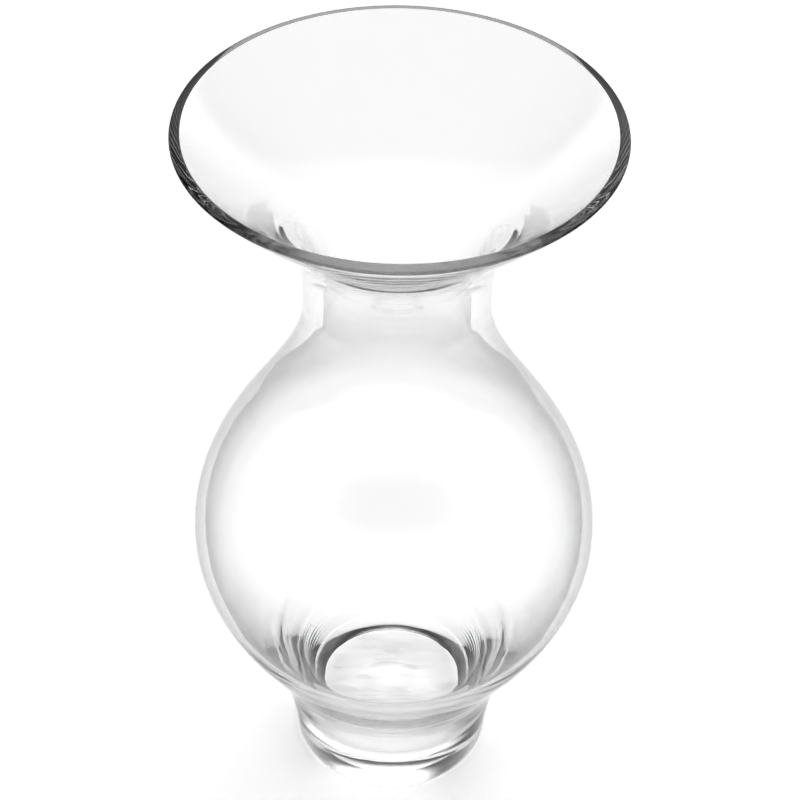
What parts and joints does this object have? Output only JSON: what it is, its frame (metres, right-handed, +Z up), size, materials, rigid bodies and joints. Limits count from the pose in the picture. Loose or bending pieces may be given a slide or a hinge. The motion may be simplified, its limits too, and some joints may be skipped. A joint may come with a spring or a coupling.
{
  "type": "hyacinth forcing vase",
  "caption": "Clear blown-glass bulb vase: wide trumpet mouth that cradles a hyacinth bulb, narrow throat, round water belly and a heavy tapered foot.",
  "frame": {"origin": "centre of the standing ring, on the surface that the vase stands on", "axes": "+Z up along the axis of the vase, from the foot to the mouth"},
  "size_m": [0.1008, 0.1008, 0.2],
  "materials": {
    "clear_glass": "colourless, fire polished, clear"
  },
  "bodies": {
    "root": {"foot": "clear_glass", "belly": "clear_glass", "neck": "clear_glass", "mouth": "clear_glass", "rim": "clear_glass"}
  },
  "joints": []
}
